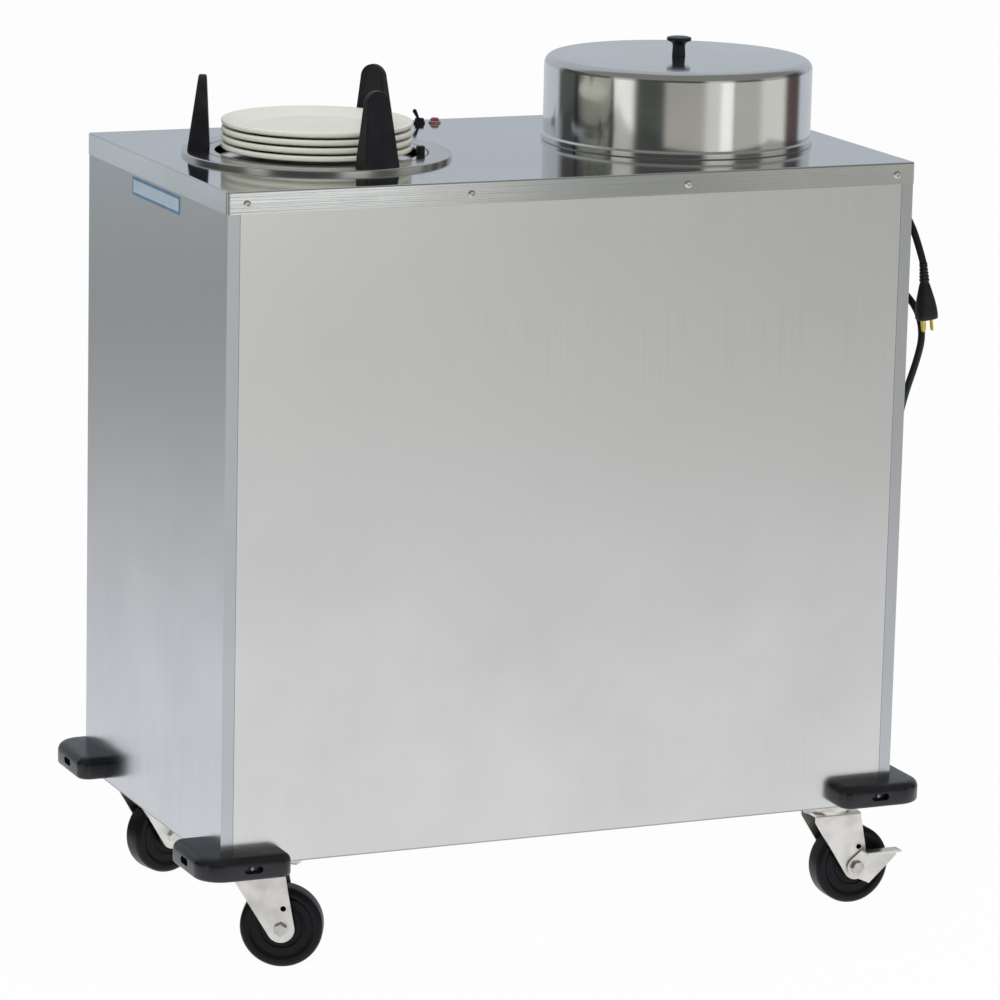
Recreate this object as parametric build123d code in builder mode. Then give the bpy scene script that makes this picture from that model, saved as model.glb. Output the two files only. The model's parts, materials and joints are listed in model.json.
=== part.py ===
"""Two-stack heated plate dispenser cart. Millimetres, +Z up, and the front faces -Y.

The origin is on the floor, under the middle of the cabinet. Plates stand on two carriers, which hang on
extension springs inside round tubes let into the deck, so that the top plate stays at the same height.
"""

import os
from math import cos, pi, radians, sin

from build123d import *

os.makedirs("parts", exist_ok=True)

# Cabinet
cabinet_length = 905.0
cabinet_width = 494.0
cabinet_bottom = 140.0
deck_top = 960.0
sheet = 1.5
deck_flange = 27.0
deck_corner = 4.0
corner_strip = 15.5
panel_gap = 0.4
panel_flange = 13.0
pan_upstand = 27.0
screw_head_radius = 4.6
screw_head_height = 2.4
screw_columns = (-429.0, -143.0, 143.0, 429.0)
screw_drop = 15.0

# Corner bumpers, of which the front left one sits a little lower
bumper_depth = 35.5
bumper_arm = 82.0
bumper_height = 36.0
bumper_corner = 34.0
bumper_edge = 9.0
bumper_lows = {"front_left": 135.0, "front_right": 147.0, "rear_left": 147.0, "rear_right": 147.0}
recess_size = (24.0, 9.0, 8.0)
recess_inset = 30.0

# Casters, with wheels of 4 inches
caster_x = 389.0
caster_y = 203.0
wheel_radius = 50.8
wheel_width = 31.0
caster_trail = 32.0
axle_radius = 5.5
axle_head = 8.5
running_gap = 0.05
side_gap = 0.3
fork_sheet = 3.2
fork_inner = 38.0
fork_top = 123.0
fork_front = 27.0
fork_rear = 36.0
fork_end = 17.0
race_radius = 29.0
race_bottom = 123.3
kingpin_radius = 6.5
caster_plate_size = (100.0, 70.0, 4.5)
caster_bolt_spacing = (80.0, 50.0)
caster_bolt_radius = 4.0
lever_sheet = 2.5
lever_gap = 0.5
lever_reach = 56.0
lever_rise = 21.0
lever_lip = 14.0
caster_turns = {"front_left": -26.0, "front_right": 0.0, "rear_left": 14.0, "rear_right": 45.0}

# Silos: the tubes that hold the plates
silo_x = 244.0
tube_radius = 136.0
tube_bottom = 268.0
ring_outer = 166.0
ring_height = 5.5
deck_hole = 157.5
guide_angle = 158.8
guide_height = 91.5
guide_base = (131.0, 158.5)
guide_top = (135.5, 145.5)
guide_width = 48.0
guide_top_width = 32.0
guide_edge = 2.5
latch_angle = -31.6
latch_orbit = 128.7
latch_radius = 5.5
latch_height = 11.0

# Carriers and springs
platform_top = 958.0
carrier_travel = 480.0
platform_radius = 118.0
platform_sheet = 3.0
leg_drop = 160.0
leg_width = 18.0
leg_sheet = 3.0
foot_sheet = 4.0
foot_reach = 155.0
slot_width = 21.0
spring_orbit = 147.5
spring_radius = 6.0
spring_wire = 1.6
spring_eye = 13.0

# Plates
plate_radius = 120.0
plate_foot = 68.0
plate_height = 20.0
plate_rim = 2.6
plate_pitch = 9.8
plate_gap = 0.02
plate_count = 4

# Cover
cover_radius = 169.0
cover_sheet = 1.2
cover_top = 1066.5
cover_round = 9.0
bead_radius = 171.5
bead_height = 7.0
stud_radius = 3.0
knob_stem = 7.8
knob_cap = 15.5
knob_height = 24.5

# Controls
switch_x = -17.5
pilot_x = 3.7
pilot_radius = 8.0
control_y = 216.0
box_size = (90.0, 44.0, 52.0)
bushing_radius = 6.0
lever_tilt = -28.0
lever_ball = 2.5
lever_pivot = deck_top + 3.5

# Power cord
cord_radius = 4.5
coil_centre = (-122.0, 845.0)
coil_inner = 42.0
coil_outer = 60.0
coil_start = 456.5
coil_end = 483.5
gland_place = (89.0, 546.0)
plug_place = (501.0, -206.0, 825.0)

half_length = cabinet_length / 2
half_width = cabinet_width / 2
ring_top = deck_top + ring_height
tube_outer = tube_radius + sheet
deck_under = deck_top - sheet
silos = {"left": -silo_x, "right": silo_x}

# Deck: one sheet turned down all round, with a round opening for each silo
with BuildPart() as top_deck:
    with BuildSketch(Plane.XY.offset(deck_top - deck_flange)):
        RectangleRounded(cabinet_length + 2 * sheet, cabinet_width + 2 * sheet, deck_corner)
    extrude(amount=deck_flange)
    fillet(top_deck.faces().sort_by(Axis.Z)[-1].edges(), sheet * 1.4)
    with BuildSketch(Plane.XY.offset(deck_top - deck_flange)):
        Rectangle(cabinet_length, cabinet_width)
    extrude(amount=deck_flange - sheet, mode=Mode.SUBTRACT)
    with BuildSketch(Plane.XY.offset(deck_under)):
        with Locations((-silo_x, 0), (silo_x, 0)):
            Circle(deck_hole)
        with Locations((switch_x, control_y)):
            Circle(bushing_radius)
    extrude(amount=sheet, mode=Mode.SUBTRACT)
top_deck.part.label = "top_deck"
export_step(top_deck.part, "parts/top_deck.step")

# Front and rear panels: sheets with their sides turned in
for name, side in (("front_panel", -1), ("rear_panel", 1)):
    panel_length = 2 * (half_length - corner_strip - panel_gap)
    with BuildPart() as panel:
        with BuildSketch(Plane.XY.offset(cabinet_bottom)):
            with Locations((0, side * (half_width - panel_flange / 2))):
                Rectangle(panel_length, panel_flange)
            with Locations((0, side * (half_width - sheet - panel_flange / 2))):
                Rectangle(panel_length - 2 * sheet, panel_flange, mode=Mode.SUBTRACT)
        extrude(amount=deck_under - cabinet_bottom)
    panel.part.label = name
    export_step(panel.part, f"parts/{name}.step")

# End panels: sheets that wrap round the cabinet's corners as narrow strips
for name, side in (("left_end_panel", -1), ("right_end_panel", 1)):
    with BuildPart() as end_panel:
        with BuildSketch(Plane.XY.offset(cabinet_bottom)):
            with Locations((side * (half_length - corner_strip / 2), 0)):
                Rectangle(corner_strip, cabinet_width)
            with Locations((side * (half_length - sheet - corner_strip / 2), 0)):
                Rectangle(corner_strip, cabinet_width - 2 * sheet, mode=Mode.SUBTRACT)
        extrude(amount=deck_under - cabinet_bottom)
    end_panel.part.label = name
    export_step(end_panel.part, f"parts/{name}.step")

# Base pan: a tray under the panels, with air slots below each silo
pan_under = cabinet_bottom - sheet
pan_inside = half_width - panel_flange
with BuildPart() as base_pan:
    with BuildSketch(Plane.XY.offset(pan_under)):
        Rectangle(cabinet_length, cabinet_width)
    extrude(amount=sheet)
    with BuildSketch(Plane.XY.offset(cabinet_bottom)):
        Rectangle(cabinet_length - 2 * sheet, 2 * pan_inside)
        Rectangle(cabinet_length - 4 * sheet, 2 * (pan_inside - sheet), mode=Mode.SUBTRACT)
    extrude(amount=pan_upstand)
    with BuildSketch(Plane.XY.offset(pan_under)):
        for x in silos.values():
            with Locations((x, 0)):
                with GridLocations(0, 40, 1, 4):
                    SlotOverall(120, 13)
    extrude(amount=sheet, mode=Mode.SUBTRACT)
base_pan.part.label = "base_pan"
export_step(base_pan.part, "parts/base_pan.step")

# Channels that stiffen the pan over the casters
channel_width = 106.0
channel_height = 26.0
channel_sheet = 3.0
channel_places = Locations((-caster_x, cabinet_bottom), (caster_x, cabinet_bottom))
channel_insides = Locations(
    (-caster_x, cabinet_bottom + channel_sheet), (caster_x, cabinet_bottom + channel_sheet)
)
with BuildPart() as caster_channels:
    with BuildSketch(Plane.XZ):
        with channel_places:
            Rectangle(channel_width, channel_height, align=(Align.CENTER, Align.MIN))
        with channel_insides:
            inside = channel_width - 2 * channel_sheet
            Rectangle(inside, channel_height, align=(Align.CENTER, Align.MIN), mode=Mode.SUBTRACT)
    extrude(amount=pan_inside - sheet, both=True)
caster_channels.part.label = "caster_channels"
export_step(caster_channels.part, "parts/caster_channels.step")

# Screws through the deck's flange into the front and rear panels
with BuildPart() as deck_screws:
    for side in (-1, 1):
        flange_face = Plane(
            origin=(0, side * (half_width + sheet), deck_top - screw_drop),
            x_dir=(1, 0, 0),
            z_dir=(0, side, 0),
        )
        with BuildSketch(flange_face):
            with Locations(*[(x, 0) for x in screw_columns]):
                Circle(screw_head_radius)
        extrude(amount=screw_head_height, taper=20)
deck_screws.part.label = "deck_screws"
export_step(deck_screws.part, "parts/deck_screws.step")

# Corner bumpers: rubber blocks that wrap round the cabinet's lower corners, with a recess for a screw
# in each arm
corners = {"front_left": (-1, -1), "front_right": (1, -1), "rear_left": (-1, 1), "rear_right": (1, 1)}
bumper_span = bumper_arm + bumper_depth
recess_planes = []
for corner, (sx, sy) in corners.items():
    middle = bumper_lows[corner] + bumper_height / 2
    front_arm = Plane(
        origin=(sx * (half_length - recess_inset), sy * (half_width + bumper_depth), middle),
        x_dir=(1, 0, 0),
        z_dir=(0, sy, 0),
    )
    end_arm = Plane(
        origin=(sx * (half_length + bumper_depth), sy * (half_width - recess_inset), middle),
        x_dir=(0, 1, 0),
        z_dir=(sx, 0, 0),
    )
    recess_planes += [front_arm, end_arm]
    with BuildPart() as bumper:
        with BuildSketch(Plane.XY.offset(bumper_lows[corner])):
            reach_x = sx * (half_length + bumper_depth - bumper_span / 2)
            reach_y = sy * (half_width + bumper_depth - bumper_span / 2)
            with Locations((reach_x, reach_y)):
                RectangleRounded(bumper_span, bumper_span, bumper_corner)
            Rectangle(cabinet_length, cabinet_width, mode=Mode.SUBTRACT)
        extrude(amount=bumper_height)
        outer_rim = [
            edge
            for edge in bumper.edges().filter_by(Plane.XY)
            if abs(edge.center().X) > half_length + 1 or abs(edge.center().Y) > half_width + 1
        ]
        fillet(outer_rim, bumper_edge)
        recess_length, recess_width, recess_depth = recess_size
        for face in (front_arm, end_arm):
            with BuildSketch(face):
                SlotOverall(recess_length, recess_width)
            extrude(amount=-recess_depth, mode=Mode.SUBTRACT)
    bumper.part.label = f"bumper_{corner}"
    export_step(bumper.part, f"parts/bumper_{corner}.step")

with BuildPart() as bumper_screws:
    for face in recess_planes:
        with BuildSketch(face.offset(-recess_depth)):
            Circle(3.4)
        extrude(amount=2.5, taper=15)
bumper_screws.part.label = "bumper_screws"
export_step(bumper_screws.part, "parts/bumper_screws.step")

# Caster, drawn at the origin with its wheel trailing towards +X, then set at each corner
axle_height = wheel_radius
axle_plane = Plane(origin=(caster_trail, 0, axle_height), x_dir=(1, 0, 0), z_dir=(0, 0, 1))
axle_axis = Axis((caster_trail, 0, axle_height), (0, 1, 0))
fork_outer = fork_inner / 2 + fork_sheet

with BuildPart() as caster_plate:
    plate_length, plate_width, plate_sheet = caster_plate_size
    plate_under = pan_under - plate_sheet
    crown_under = fork_top - fork_sheet - side_gap
    with BuildSketch(Plane.XY.offset(plate_under)):
        RectangleRounded(plate_length, plate_width, 9)
    extrude(amount=plate_sheet)
    with BuildSketch(Plane.XZ):
        Polygon(
            (0, crown_under - 6),
            (kingpin_radius + 4, crown_under - 6),
            (kingpin_radius + 4, crown_under),
            (kingpin_radius, crown_under),
            (kingpin_radius, race_bottom),
            (race_radius - 3, race_bottom),
            (race_radius, race_bottom + 4),
            (race_radius, plate_under),
            (0, plate_under),
            align=None,
        )
    revolve(axis=Axis.Z)

# Fork: a pressed crown with two legs, which narrow to a round end at the axle
sight_hole = (caster_trail + 3, axle_height + 26)
with BuildPart() as fork:
    with BuildSketch(Plane.XZ) as leg_outline:
        with BuildLine():
            Line((-fork_front, fork_top), (fork_rear, fork_top))
            Line((-fork_front, fork_top), (-fork_front, fork_top - 10))
            Line((fork_rear, fork_top), (fork_rear, fork_top - 10))
            CenterArc((caster_trail, axle_height), fork_end, 0, 360)
        make_hull()
    extrude(amount=fork_outer, both=True)
    fillet(fork.edges().filter_by(Axis.X).group_by(Axis.Z)[-1], fork_sheet)
    with BuildSketch(Plane.XY):
        Rectangle(4 * wheel_radius, fork_inner)
    extrude(amount=fork_top - fork_sheet, mode=Mode.SUBTRACT)
    with BuildSketch(Plane.XY.offset(fork_top - fork_sheet)):
        Circle(kingpin_radius + running_gap)
    extrude(amount=fork_sheet, mode=Mode.SUBTRACT)
    with BuildSketch(Plane.XZ):
        with Locations((caster_trail, axle_height)):
            Circle(axle_radius)
        with Locations(sight_hole):
            Circle(3.5)
    extrude(amount=fork_outer, both=True, mode=Mode.SUBTRACT)

# Axle bolts: the head lies on the fork, or outside the brake lever where there is one
axles = {}
for kind, head_start in (("plain", fork_outer), ("braked", fork_outer + lever_gap + lever_sheet + side_gap)):
    with BuildPart() as axle:
        with BuildSketch(axle_plane):
            with BuildLine():
                Polyline(
                    (0, -head_start - 5),
                    (axle_head - 1.5, -head_start - 5),
                    (axle_head, -head_start - 3.5),
                    (axle_head, -head_start),
                    (axle_radius, -head_start),
                    (axle_radius, fork_outer),
                    (axle_head, fork_outer),
                    (axle_head, fork_outer + 5),
                    (0, fork_outer + 5),
                    close=True,
                )
            make_face()
        revolve(axis=axle_axis)
    axles[kind] = axle

with BuildPart() as wheel:
    hub_half = fork_inner / 2 - side_gap
    tyre_half = wheel_width / 2
    bore = axle_radius + running_gap
    with BuildSketch(axle_plane):
        with BuildLine():
            Polyline(
                (bore, -hub_half),
                (14, -hub_half),
                (19, -tyre_half),
                (wheel_radius - 7, -tyre_half),
                (wheel_radius - 1.5, -tyre_half + 2.5),
                (wheel_radius, -tyre_half + 7),
                (wheel_radius, tyre_half - 7),
                (wheel_radius - 1.5, tyre_half - 2.5),
                (wheel_radius - 7, tyre_half),
                (19, tyre_half),
                (14, hub_half),
                (bore, hub_half),
                close=True,
            )
        make_face()
    revolve(axis=axle_axis)

# Brake lever: a plate that turns on the axle bolt outside the fork, with a lip for the foot
with BuildPart() as brake_lever:
    lever_face = Plane.XZ.offset(fork_outer + lever_gap)
    with BuildSketch(lever_face):
        with BuildLine():
            CenterArc((caster_trail, axle_height), fork_end - 4, 0, 360)
            lever_end = caster_trail + lever_reach
            Line((caster_trail + 6, axle_height + lever_rise), (lever_end, axle_height + lever_rise))
            Line((lever_end, axle_height + 11), (caster_trail + 18, axle_height - 23))
        make_hull()
    extrude(amount=lever_sheet)
    with BuildSketch(lever_face):
        with Locations((lever_end, axle_height + lever_rise)):
            Rectangle(lever_reach - 8, lever_sheet, align=(Align.MAX, Align.MAX))
    extrude(amount=lever_sheet + lever_lip)
    with BuildSketch(lever_face):
        with Locations((caster_trail, axle_height)):
            Circle(axle_radius + running_gap)
    extrude(amount=lever_sheet, mode=Mode.SUBTRACT)

for corner, (sx, sy) in corners.items():
    stand = Location((sx * caster_x, sy * caster_y, 0))
    turned = stand * Location((0, 0, 0), (0, 0, caster_turns[corner]))
    pieces = {"caster_plate": (caster_plate, stand), "fork": (fork, turned), "wheel": (wheel, turned)}
    if sx > 0:
        pieces["brake_lever"] = (brake_lever, turned)
    pieces["axle"] = (axles["braked" if sx > 0 else "plain"], turned)
    for kind, (piece, place) in pieces.items():
        placed = piece.part.moved(place)
        placed.label = f"{kind}_{corner}"
        export_step(placed, f"parts/{placed.label}.step")

# Bolts that hold the caster plates, with their hexagonal heads below
with BuildPart() as caster_bolts:
    with BuildSketch(Plane.XY.offset(plate_under)):
        for sx, sy in corners.values():
            with Locations((sx * caster_x, sy * caster_y)):
                with GridLocations(*caster_bolt_spacing, 2, 2):
                    RegularPolygon(caster_bolt_radius * 1.7, 6)
    extrude(amount=-4.5)
caster_bolts.part.label = "caster_bolts"
export_step(caster_bolts.part, "parts/caster_bolts.step")

# Silos: a slotted tube under a broad ring, with three moulded guides that centre the stack
spring_angles = [guide_angle + 60 + 120 * k for k in range(3)]
slot_top = platform_top - leg_drop + side_gap
slot_bottom = platform_top - leg_drop - foot_sheet - carrier_travel - 6

with BuildPart() as silo_tube:
    with BuildSketch(Plane.XY.offset(tube_bottom)):
        Circle(tube_outer)
        Circle(tube_radius, mode=Mode.SUBTRACT)
    extrude(amount=ring_top - tube_bottom)
    for angle in spring_angles:
        with BuildSketch(Plane.XY.rotated((0, 0, angle)).offset(slot_bottom)):
            with Locations((tube_outer, 0)):
                Rectangle(4 * sheet, slot_width)
        extrude(amount=slot_top - slot_bottom, mode=Mode.SUBTRACT)

with BuildPart() as silo_ring:
    with BuildSketch(Plane.XZ):
        Polygon(
            (tube_outer, deck_top),
            (tube_outer, ring_top),
            (ring_outer - 1.5, ring_top),
            (ring_outer, ring_top - 1.5),
            (ring_outer, deck_top),
            align=None,
        )
    revolve(axis=Axis.Z)

with BuildPart() as guide:
    guide_tip = ring_top + guide_height
    with BuildSketch(Plane.XZ):
        Polygon(
            (guide_base[0], ring_top),
            (guide_base[1], ring_top),
            (guide_top[1], guide_tip),
            (guide_top[0], guide_tip),
            align=None,
        )
    extrude(amount=guide_width / 2, both=True)
    with BuildSketch(Plane.YZ):
        with BuildLine():
            arch = guide_tip - guide_top_width / 2
            Line((-guide_width / 2, ring_top), (guide_width / 2, ring_top))
            Line((guide_width / 2, ring_top), (guide_top_width / 2, arch))
            ThreePointArc((guide_top_width / 2, arch), (0, guide_tip), (-guide_top_width / 2, arch))
            Line((-guide_top_width / 2, arch), (-guide_width / 2, ring_top))
        make_face()
    extrude(amount=2 * ring_outer, both=True, mode=Mode.INTERSECT)
    fillet(guide.edges().filter_by_position(Axis.Z, ring_top + 1, guide_tip + 1), guide_edge)

# Latch knob on each ring
with BuildPart() as silo_latches:
    for x in silos.values():
        latch_x = x + latch_orbit * cos(radians(latch_angle))
        latch_y = latch_orbit * sin(radians(latch_angle))
        with BuildSketch(Plane.XY.offset(ring_top)):
            with Locations((latch_x, latch_y)):
                Circle(latch_radius)
        extrude(amount=latch_height)
    chamfer(silo_latches.faces().filter_by(Axis.Z).group_by(Axis.Z)[-1].edges(), 1.2)
silo_latches.part.label = "silo_latches"
export_step(silo_latches.part, "parts/silo_latches.step")

# Carrier: a platform on three legs, whose feet reach out through the tube's slots to the springs
with BuildPart() as carrier:
    with BuildSketch(Plane.XY.offset(platform_top)):
        Circle(platform_radius)
    extrude(amount=-platform_sheet)
    leg_outer = platform_radius - 0.5
    foot_top = platform_top - leg_drop
    for angle in spring_angles:
        leg_plane = Plane.XY.rotated((0, 0, angle)).offset(foot_top - foot_sheet)
        with BuildSketch(leg_plane):
            with Locations((leg_outer, 0)):
                Rectangle(leg_sheet, leg_width, align=(Align.MAX, Align.CENTER))
        extrude(amount=leg_drop + foot_sheet)
        with BuildSketch(leg_plane):
            with Locations((leg_outer - leg_sheet, 0)):
                Rectangle(foot_reach - leg_outer + leg_sheet, leg_width, align=(Align.MIN, Align.CENTER))
        extrude(amount=foot_sheet)

for side, x in silos.items():
    for kind, piece in (("silo_tube", silo_tube), ("silo_ring", silo_ring), ("carrier", carrier)):
        placed = piece.part.moved(Location((x, 0, 0)))
        placed.label = f"{kind}_{side}"
        export_step(placed, f"parts/{placed.label}.step")

    with BuildPart() as guides:
        for k in range(3):
            add(guide.part.moved(Location((x, 0, 0), (0, 0, guide_angle + 120 * k))))
    guides.part.label = f"guides_{side}"
    export_step(guides.part, f"parts/guides_{side}.step")

    # Extension springs, from the feet up to the ring's underside
    with BuildPart() as springs:
        for angle in spring_angles:
            hang = (x + spring_orbit * cos(radians(angle)), spring_orbit * sin(radians(angle)))
            with BuildSketch(Plane.XY.offset(foot_top)):
                with Locations(hang):
                    Circle(spring_wire)
            extrude(amount=deck_top - foot_top)
            with BuildSketch(Plane.XY.offset(foot_top + spring_eye)):
                with Locations(hang):
                    Circle(spring_radius)
            extrude(amount=deck_top - foot_top - 2 * spring_eye)
    springs.part.label = f"springs_{side}"
    export_step(springs.part, f"parts/springs_{side}.step")

# Plates on the left carrier, each foot in the well of the plate below
with BuildPart() as plates:
    for k in range(plate_count):
        low = platform_top + k * plate_pitch
        with BuildSketch(Plane.XZ):
            Polygon(
                (0, low),
                (plate_foot, low),
                (plate_radius, low + plate_height - plate_rim),
                (plate_radius, low + plate_height),
                (plate_foot + 4, low + plate_pitch - plate_gap),
                (0, low + plate_pitch - plate_gap),
                align=None,
            )
        revolve(axis=Axis.Z, mode=Mode.ADD)
plates_stack = plates.part.moved(Location((-silo_x, 0, 0)))
plates_stack.label = "plates"
export_step(plates_stack, "parts/plates.step")

# Cover over the right silo: a spun cap with a rolled lower edge, lifted by its knob
cover_inner = cover_radius - cover_sheet
round_x = cover_radius - cover_round
round_z = cover_top - cover_round
with BuildPart() as cover:
    with BuildSketch(Plane.XZ):
        with BuildLine():
            Line((0, cover_top), (round_x, cover_top))
            CenterArc((round_x, round_z), cover_round, 0, 90)
            Polyline(
                (cover_radius, round_z),
                (cover_radius, deck_top + bead_height + 2),
                (bead_radius, deck_top + bead_height),
                (bead_radius, deck_top),
                (cover_inner, deck_top),
                (cover_inner, round_z - 1),
                (round_x - 1, cover_top - cover_sheet),
                (0, cover_top - cover_sheet),
                (0, cover_top),
            )
        make_face()
    revolve(axis=Axis.Z)
    with BuildSketch(Plane.XY.offset(cover_top)):
        Circle(stud_radius)
    extrude(amount=-cover_sheet, mode=Mode.SUBTRACT)

with BuildPart() as cover_knob:
    knob_top = cover_top + knob_height
    washer_low = cover_top - cover_sheet - 4
    with BuildSketch(Plane.XZ):
        Polygon(
            (0, washer_low),
            (6, washer_low),
            (6, cover_top - cover_sheet),
            (stud_radius, cover_top - cover_sheet),
            (stud_radius, cover_top),
            (knob_stem + 0.6, cover_top),
            (knob_stem, knob_top - 8),
            (knob_cap - 1.5, knob_top - 5.5),
            (knob_cap, knob_top - 4),
            (knob_cap, knob_top - 1.5),
            (knob_cap - 2, knob_top),
            (0, knob_top),
            align=None,
        )
    revolve(axis=Axis.Z)

for name, piece in (("cover", cover), ("cover_knob", cover_knob)):
    placed = piece.part.moved(Location((silo_x, 0, 0)))
    placed.label = name
    export_step(placed, f"parts/{name}.step")

# Heaters: a hairpin element under each silo, held between two upright brackets
heater_height = 182.0
heater_radius = 4.0
heater_half = 46.0
heater_start = -90.0
heater_bend = 90.0
with BuildPart() as heaters:
    for x in silos.values():
        with BuildLine() as hairpin:
            FilletPolyline(
                (x - heater_half, heater_start, heater_height),
                (x - heater_half, heater_bend, heater_height),
                (x + heater_half, heater_bend, heater_height),
                (x + heater_half, heater_start, heater_height),
                radius=heater_half - 1,
            )
        with BuildSketch(hairpin.line ^ 0):
            Circle(heater_radius)
        sweep(path=hairpin.line)
heaters.part.label = "heaters"
export_step(heaters.part, "parts/heaters.step")

bracket_width = 140.0
with BuildPart() as heater_brackets:
    for x in silos.values():
        with BuildSketch(Plane.XZ.offset(-heater_start)):
            with Locations((x, cabinet_bottom)):
                Rectangle(bracket_width, 60, align=(Align.CENTER, Align.MIN))
        extrude(amount=2)
        with BuildSketch(Plane.XY.offset(cabinet_bottom)):
            with Locations((x, heater_start - 2)):
                Rectangle(bracket_width, 24, align=(Align.CENTER, Align.MAX))
        extrude(amount=2)
heater_brackets.part.label = "heater_brackets"
export_step(heater_brackets.part, "parts/heater_brackets.step")

# Control box under the deck's back edge, with a toggle switch and a pilot light on the deck
with BuildPart() as control_box:
    box_length, box_width, box_height = box_size
    with BuildSketch(Plane.XY.offset(deck_under - box_height)):
        Rectangle(box_length, box_width)
    extrude(amount=box_height)
    with BuildSketch(Plane.XY.offset(deck_under - box_height + sheet)):
        Rectangle(box_length - 2 * sheet, box_width - 2 * sheet)
    extrude(amount=box_height, mode=Mode.SUBTRACT)
control_box_placed = control_box.part.moved(Location((switch_x / 2 + pilot_x / 2, control_y, 0)))
control_box_placed.label = "control_box"
export_step(control_box_placed, "parts/control_box.step")

with BuildPart() as switch_body:
    bushing_top = lever_pivot + 3
    with BuildSketch(Plane.XY.offset(deck_top)):
        RegularPolygon(8, 6)
    extrude(amount=2.5)
    with BuildSketch(Plane.XY.offset(deck_under - 24)):
        Rectangle(15, 28)
    extrude(amount=24)
    with BuildSketch(Plane.XY.offset(deck_under)):
        Circle(bushing_radius)
    extrude(amount=bushing_top - deck_under)
    with BuildSketch(Plane.XZ):
        Polygon(
            (0, lever_pivot - lever_ball - side_gap),
            (lever_ball + side_gap, lever_pivot - lever_ball - side_gap),
            (lever_ball + side_gap, lever_pivot),
            (bushing_radius - 1, bushing_top),
            (0, bushing_top),
            align=None,
        )
    revolve(axis=Axis.Z, mode=Mode.SUBTRACT)
switch_body_placed = switch_body.part.moved(Location((switch_x, control_y, 0)))
switch_body_placed.label = "switch_body"
export_step(switch_body_placed, "parts/switch_body.step")

lever_length = 16.5
with BuildPart() as switch_lever:
    with BuildSketch(Plane.XZ):
        with BuildLine():
            ball = CenterArc((0, 0), lever_ball, -90, 145)
            Polyline(ball @ 1, (2.8, lever_length - 2), (1.8, lever_length), (0, lever_length))
            Line((0, lever_length), (0, -lever_ball))
        make_face()
    revolve(axis=Axis.Z)
lever_place = Location((switch_x, control_y, lever_pivot), (0, lever_tilt, 0))
switch_lever_placed = switch_lever.part.moved(lever_place)
switch_lever_placed.label = "switch_lever"
export_step(switch_lever_placed, "parts/switch_lever.step")

with BuildPart() as pilot_light:
    with BuildSketch(Plane.XZ):
        Polygon(
            (0, deck_top),
            (pilot_radius, deck_top),
            (pilot_radius, deck_top + 2),
            (pilot_radius - 2, deck_top + 3),
            (pilot_radius - 3.5, deck_top + 6),
            (0, deck_top + 7),
            align=None,
        )
    revolve(axis=Axis.Z)
pilot_placed = pilot_light.part.moved(Location((pilot_x, control_y, 0)))
pilot_placed.label = "pilot_light"
export_step(pilot_placed, "parts/pilot_light.step")

# Cord hook on the right end: a bent strap
hook_y, coil_height = coil_centre
hook_width = 15.0
hook_sheet = 3.0
hook_reach = coil_end + 3.5
hook_arm_top = coil_height + coil_inner - 1
with BuildPart() as cord_hook:
    with BuildSketch(Plane.XZ.offset(-hook_y)):
        with BuildLine():
            Polyline(
                (half_length, hook_arm_top - 36),
                (half_length, hook_arm_top + 17),
                (half_length + hook_sheet, hook_arm_top + 17),
                (half_length + hook_sheet, hook_arm_top),
                (hook_reach - hook_sheet, hook_arm_top),
                (hook_reach - hook_sheet, hook_arm_top + 16),
                (hook_reach, hook_arm_top + 16),
                (hook_reach, hook_arm_top - hook_sheet),
                (half_length + hook_sheet, hook_arm_top - hook_sheet),
                (half_length + hook_sheet, hook_arm_top - 36),
                close=True,
            )
        make_face()
    extrude(amount=hook_width / 2, both=True)
cord_hook.part.label = "cord_hook"
export_step(cord_hook.part, "parts/cord_hook.step")

# Strain relief where the cord leaves the right end
gland_y, gland_z = gland_place
gland_tip = half_length + 35.5
gland_axis = Axis((0, gland_y, gland_z), (1, 0, 0))
with BuildPart() as cord_gland:
    with BuildSketch(Plane.XY.offset(gland_z)):
        with BuildLine():
            Polyline(
                (half_length, gland_y),
                (half_length, gland_y + 12),
                (half_length + 4, gland_y + 12),
                (half_length + 5, gland_y + 9),
                (gland_tip, gland_y + cord_radius + 0.8),
                (gland_tip, gland_y),
                close=True,
            )
        make_face()
    revolve(axis=gland_axis)
cord_gland.part.label = "cord_gland"
export_step(cord_gland.part, "parts/cord_gland.step")


def corner_radii(route):
    """The radius at each corner of a cord's route: 0.45 of its shorter run over tan(half the turn)."""
    points = [Vector(*p) for p in route]
    radii = []
    for before, here, after in zip(points, points[1:], points[2:]):
        turn = (here - before).get_angle(after - here)
        shorter = min((here - before).length, (after - here).length)
        radii.append(0.45 * shorter * cos(radians(turn / 2)) / sin(radians(turn / 2)))
    return radii


# The lead from the gland, forward and up to the coil, and the tail over the hook to the plug
lead_route = (
    (gland_tip, gland_y, gland_z),
    (512, 89, 546),
    (537, 78, 546),
    (553, 55, 547),
    (559, 27, 551),
    (553, -9, 558),
    (540, -53, 569),
    (521, -98, 587),
    (505, -137, 614),
    (498, -166, 654),
    (503, -181, 694),
    (509, -184, 727),
    (506, -176, 756),
    (497, -160, 776),
    (487, -138, 788),
    (477, -115, 792),
)
tail_route = (
    (467, -129, 901),
    (471, -152, 899),
    (477, -173, 890),
    (484, -189, 872),
    (492, -199, 849),
    plug_place,
)
for name, route in (("cord_lead", lead_route), ("cord_tail", tail_route)):
    radii = corner_radii(route)
    print(name, "radii", [round(r) for r in radii])
    with BuildPart() as cord:
        with BuildLine() as path:
            FilletPolyline(*route, radius=radii)
        with BuildSketch(path.line ^ 0):
            Circle(cord_radius)
        sweep(path=path.line)
    length = path.wires()[0].length
    tube_volume = pi * cord_radius**2 * length
    print(name, "length", round(length), "volume over tube", round(cord.part.volume / tube_volume, 4))
    cord.part.label = name
    export_step(cord.part, f"parts/{name}.step")

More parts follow.
